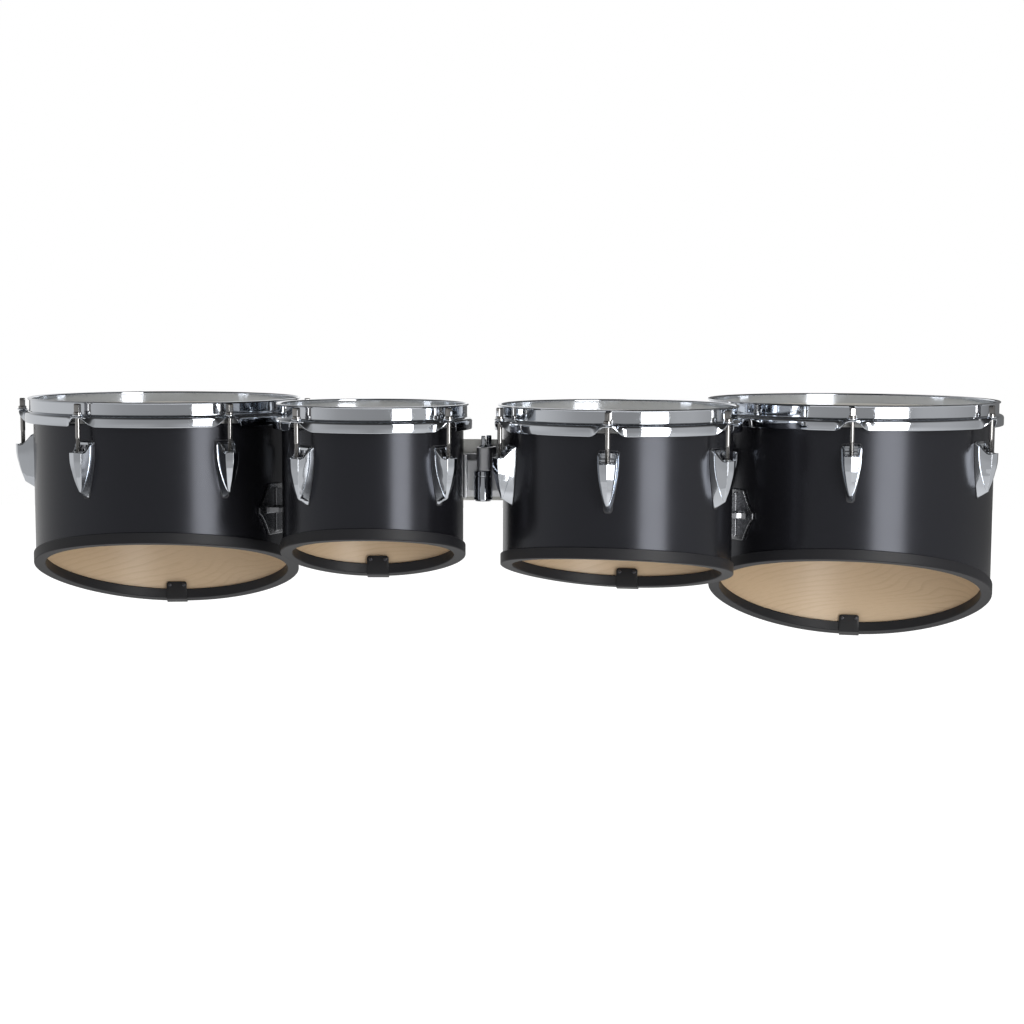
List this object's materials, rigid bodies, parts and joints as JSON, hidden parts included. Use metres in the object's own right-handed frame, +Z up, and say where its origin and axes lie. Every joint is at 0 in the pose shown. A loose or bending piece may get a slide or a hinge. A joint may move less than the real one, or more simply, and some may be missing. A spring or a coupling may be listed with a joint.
{
  "type": "marching tenor drums",
  "caption": "Marching tenor drums: slant-cut shells with chromed hoops, lugs and tension rods, joined side by side by cast brackets that hang on a harness carrier.",
  "frame": {"origin": "middle of the back face of the rear plate, where the carrier holds the set", "axes": "+Z up, +Y back towards the player, +X to the right as the audience sees the set"},
  "size_m": [1.1574, 0.4955, 0.3063],
  "materials": {
    "shell_lacquer": "satin black lacquer on plied maple",
    "drumhead": "clear glossy film",
    "chrome_hoop": "polished chrome plate",
    "chrome_lug": "polished chrome plate",
    "chrome_rod": "polished chrome plate",
    "chrome_socket": "polished chrome plate",
    "cast_aluminium": "tumbled casting"
  },
  "bodies": {
    "frame": {"shell_12": "shell_lacquer", "head_12": "drumhead", "lug_12_1": "chrome_lug", "lug_12_2": "chrome_lug", "lug_12_3": "chrome_lug", "lug_12_4": "chrome_lug", "lug_12_5": "chrome_lug", "lug_12_6": "chrome_lug", "shell_8": "shell_lacquer", "head_8": "drumhead", "lug_8_1": "chrome_lug", "lug_8_2": "chrome_lug", "lug_8_3": "chrome_lug", "lug_8_4": "chrome_lug", "shell_10": "shell_lacquer", "head_10": "drumhead", "lug_10_1": "chrome_lug", "lug_10_2": "chrome_lug", "lug_10_3": "chrome_lug", "lug_10_4": "chrome_lug", "lug_10_5": "chrome_lug", "lug_10_6": "chrome_lug", "shell_13": "shell_lacquer", "head_13": "drumhead", "lug_13_1": "chrome_lug", "lug_13_2": "chrome_lug", "lug_13_3": "chrome_lug", "lug_13_4": "chrome_lug", "lug_13_5": "chrome_lug", "lug_13_6": "chrome_lug", "left_spacer_bracket": "cast_aluminium", "right_spacer_bracket": "cast_aluminium", "centre_bracket": "cast_aluminium", "carrier_socket": "chrome_socket"},
    "hoop_12": {"hoop_12": "chrome_hoop"},
    "tension_rod_12_1": {"tension_rod_12_1": "chrome_rod"},
    "tension_rod_12_2": {"tension_rod_12_2": "chrome_rod"},
    "tension_rod_12_3": {"tension_rod_12_3": "chrome_rod"},
    "tension_rod_12_4": {"tension_rod_12_4": "chrome_rod"},
    "tension_rod_12_5": {"tension_rod_12_5": "chrome_rod"},
    "tension_rod_12_6": {"tension_rod_12_6": "chrome_rod"},
    "hoop_8": {"hoop_8": "chrome_hoop"},
    "tension_rod_8_1": {"tension_rod_8_1": "chrome_rod"},
    "tension_rod_8_2": {"tension_rod_8_2": "chrome_rod"},
    "tension_rod_8_3": {"tension_rod_8_3": "chrome_rod"},
    "tension_rod_8_4": {"tension_rod_8_4": "chrome_rod"},
    "hoop_10": {"hoop_10": "chrome_hoop"},
    "tension_rod_10_1": {"tension_rod_10_1": "chrome_rod"},
    "tension_rod_10_2": {"tension_rod_10_2": "chrome_rod"},
    "tension_rod_10_3": {"tension_rod_10_3": "chrome_rod"},
    "tension_rod_10_4": {"tension_rod_10_4": "chrome_rod"},
    "tension_rod_10_5": {"tension_rod_10_5": "chrome_rod"},
    "tension_rod_10_6": {"tension_rod_10_6": "chrome_rod"},
    "hoop_13": {"hoop_13": "chrome_hoop"},
    "tension_rod_13_1": {"tension_rod_13_1": "chrome_rod"},
    "tension_rod_13_2": {"tension_rod_13_2": "chrome_rod"},
    "tension_rod_13_3": {"tension_rod_13_3": "chrome_rod"},
    "tension_rod_13_4": {"tension_rod_13_4": "chrome_rod"},
    "tension_rod_13_5": {"tension_rod_13_5": "chrome_rod"},
    "tension_rod_13_6": {"tension_rod_13_6": "chrome_rod"}
  },
  "joints": [
    {"name": "hoop_12_rise", "type": "slide", "parent": "frame", "child": "hoop_12", "axis": [0, 0, 1], "range_m": [0, 0.008]},
    {"name": "tension_rod_12_1_turn", "type": "hinge", "parent": "hoop_12", "child": "tension_rod_12_1", "pos_m": [-0.27944, -0.04816, 0.061], "axis": [0, 0, 1], "range_deg": [0, 2723]},
    {"name": "tension_rod_12_2_turn", "type": "hinge", "parent": "hoop_12", "child": "tension_rod_12_2", "pos_m": [-0.20975, 0.10129, 0.061], "axis": [0, 0, 1], "range_deg": [0, 2723]},
    {"name": "tension_rod_12_3_turn", "type": "hinge", "parent": "hoop_12", "child": "tension_rod_12_3", "pos_m": [-0.30433, 0.23637, 0.061], "axis": [0, 0, 1], "range_deg": [0, 2723]},
    {"name": "tension_rod_12_4_turn", "type": "hinge", "parent": "hoop_12", "child": "tension_rod_12_4", "pos_m": [-0.4686, 0.22199, 0.061], "axis": [0, 0, 1], "range_deg": [0, 2723]},
    {"name": "tension_rod_12_5_turn", "type": "hinge", "parent": "hoop_12", "child": "tension_rod_12_5", "pos_m": [-0.53829, 0.07254, 0.061], "axis": [0, 0, 1], "range_deg": [0, 2723]},
    {"name": "tension_rod_12_6_turn", "type": "hinge", "parent": "hoop_12", "child": "tension_rod_12_6", "pos_m": [-0.44371, -0.06253, 0.061], "axis": [0, 0, 1], "range_deg": [0, 2723]},
    {"name": "hoop_8_rise", "type": "slide", "parent": "frame", "child": "hoop_8", "axis": [0, 0, 1], "range_m": [0, 0.008]},
    {"name": "tension_rod_8_1_turn", "type": "hinge", "parent": "hoop_8", "child": "tension_rod_8_1", "pos_m": [-0.03593, -0.11962, 0.061], "axis": [0, 0, 1], "range_deg": [0, 2723]},
    {"name": "tension_rod_8_2_turn", "type": "hinge", "parent": "hoop_8", "child": "tension_rod_8_2", "pos_m": [-0.04717, 0.04107, 0.061], "axis": [0, 0, 1], "range_deg": [0, 2723]},
    {"name": "tension_rod_8_3_turn", "type": "hinge", "parent": "hoop_8", "child": "tension_rod_8_3", "pos_m": [-0.20785, 0.02983, 0.061], "axis": [0, 0, 1], "range_deg": [0, 2723]},
    {"name": "tension_rod_8_4_turn", "type": "hinge", "parent": "hoop_8", "child": "tension_rod_8_4", "pos_m": [-0.19662, -0.13085, 0.061], "axis": [0, 0, 1], "range_deg": [0, 2723]},
    {"name": "hoop_10_rise", "type": "slide", "parent": "frame", "child": "hoop_10", "axis": [0, 0, 1], "range_m": [0, 0.008]},
    {"name": "tension_rod_10_1_turn", "type": "hinge", "parent": "hoop_10", "child": "tension_rod_10_1", "pos_m": [0.12961, -0.1949, 0.061], "axis": [0, 0, 1], "range_deg": [0, 2723]},
    {"name": "tension_rod_10_2_turn", "type": "hinge", "parent": "hoop_10", "child": "tension_rod_10_2", "pos_m": [0.25886, -0.14136, 0.061], "axis": [0, 0, 1], "range_deg": [0, 2723]},
    {"name": "tension_rod_10_3_turn", "type": "hinge", "parent": "hoop_10", "child": "tension_rod_10_3", "pos_m": [0.27712, -0.00266, 0.061], "axis": [0, 0, 1], "range_deg": [0, 2723]},
    {"name": "tension_rod_10_4_turn", "type": "hinge", "parent": "hoop_10", "child": "tension_rod_10_4", "pos_m": [0.16613, 0.08251, 0.061], "axis": [0, 0, 1], "range_deg": [0, 2723]},
    {"name": "tension_rod_10_5_turn", "type": "hinge", "parent": "hoop_10", "child": "tension_rod_10_5", "pos_m": [0.03688, 0.02897, 0.061], "axis": [0, 0, 1], "range_deg": [0, 2723]},
    {"name": "tension_rod_10_6_turn", "type": "hinge", "parent": "hoop_10", "child": "tension_rod_10_6", "pos_m": [0.01862, -0.10974, 0.061], "axis": [0, 0, 1], "range_deg": [0, 2723]},
    {"name": "hoop_13_rise", "type": "slide", "parent": "frame", "child": "hoop_13", "axis": [0, 0, 1], "range_m": [0, 0.008]},
    {"name": "tension_rod_13_1_turn", "type": "hinge", "parent": "hoop_13", "child": "tension_rod_13_1", "pos_m": [0.40276, -0.06839, 0.061], "axis": [0, 0, 1], "range_deg": [0, 2723]},
    {"name": "tension_rod_13_2_turn", "type": "hinge", "parent": "hoop_13", "child": "tension_rod_13_2", "pos_m": [0.56993, -0.00754, 0.061], "axis": [0, 0, 1], "range_deg": [0, 2723]},
    {"name": "tension_rod_13_3_turn", "type": "hinge", "parent": "hoop_13", "child": "tension_rod_13_3", "pos_m": [0.60082, 0.16765, 0.061], "axis": [0, 0, 1], "range_deg": [0, 2723]},
    {"name": "tension_rod_13_4_turn", "type": "hinge", "parent": "hoop_13", "child": "tension_rod_13_4", "pos_m": [0.46454, 0.28201, 0.061], "axis": [0, 0, 1], "range_deg": [0, 2723]},
    {"name": "tension_rod_13_5_turn", "type": "hinge", "parent": "hoop_13", "child": "tension_rod_13_5", "pos_m": [0.29737, 0.22116, 0.061], "axis": [0, 0, 1], "range_deg": [0, 2723]},
    {"name": "tension_rod_13_6_turn", "type": "hinge", "parent": "hoop_13", "child": "tension_rod_13_6", "pos_m": [0.26648, 0.04596, 0.061], "axis": [0, 0, 1], "range_deg": [0, 2723]}
  ],
  "couplings": [
    {"joint": "tension_rod_12_1_turn", "follows": "hoop_12_rise", "rad_per_m": 5937.1},
    {"joint": "tension_rod_12_2_turn", "follows": "hoop_12_rise", "rad_per_m": 5937.1},
    {"joint": "tension_rod_12_3_turn", "follows": "hoop_12_rise", "rad_per_m": 5937.1},
    {"joint": "tension_rod_12_4_turn", "follows": "hoop_12_rise", "rad_per_m": 5937.1},
    {"joint": "tension_rod_12_5_turn", "follows": "hoop_12_rise", "rad_per_m": 5937.1},
    {"joint": "tension_rod_12_6_turn", "follows": "hoop_12_rise", "rad_per_m": 5937.1},
    {"joint": "tension_rod_8_1_turn", "follows": "hoop_8_rise", "rad_per_m": 5937.1},
    {"joint": "tension_rod_8_2_turn", "follows": "hoop_8_rise", "rad_per_m": 5937.1},
    {"joint": "tension_rod_8_3_turn", "follows": "hoop_8_rise", "rad_per_m": 5937.1},
    {"joint": "tension_rod_8_4_turn", "follows": "hoop_8_rise", "rad_per_m": 5937.1},
    {"joint": "tension_rod_10_1_turn", "follows": "hoop_10_rise", "rad_per_m": 5937.1},
    {"joint": "tension_rod_10_2_turn", "follows": "hoop_10_rise", "rad_per_m": 5937.1},
    {"joint": "tension_rod_10_3_turn", "follows": "hoop_10_rise", "rad_per_m": 5937.1},
    {"joint": "tension_rod_10_4_turn", "follows": "hoop_10_rise", "rad_per_m": 5937.1},
    {"joint": "tension_rod_10_5_turn", "follows": "hoop_10_rise", "rad_per_m": 5937.1},
    {"joint": "tension_rod_10_6_turn", "follows": "hoop_10_rise", "rad_per_m": 5937.1},
    {"joint": "tension_rod_13_1_turn", "follows": "hoop_13_rise", "rad_per_m": 5937.1},
    {"joint": "tension_rod_13_2_turn", "follows": "hoop_13_rise", "rad_per_m": 5937.1},
    {"joint": "tension_rod_13_3_turn", "follows": "hoop_13_rise", "rad_per_m": 5937.1},
    {"joint": "tension_rod_13_4_turn", "follows": "hoop_13_rise", "rad_per_m": 5937.1},
    {"joint": "tension_rod_13_5_turn", "follows": "hoop_13_rise", "rad_per_m": 5937.1},
    {"joint": "tension_rod_13_6_turn", "follows": "hoop_13_rise", "rad_per_m": 5937.1}
  ]
}
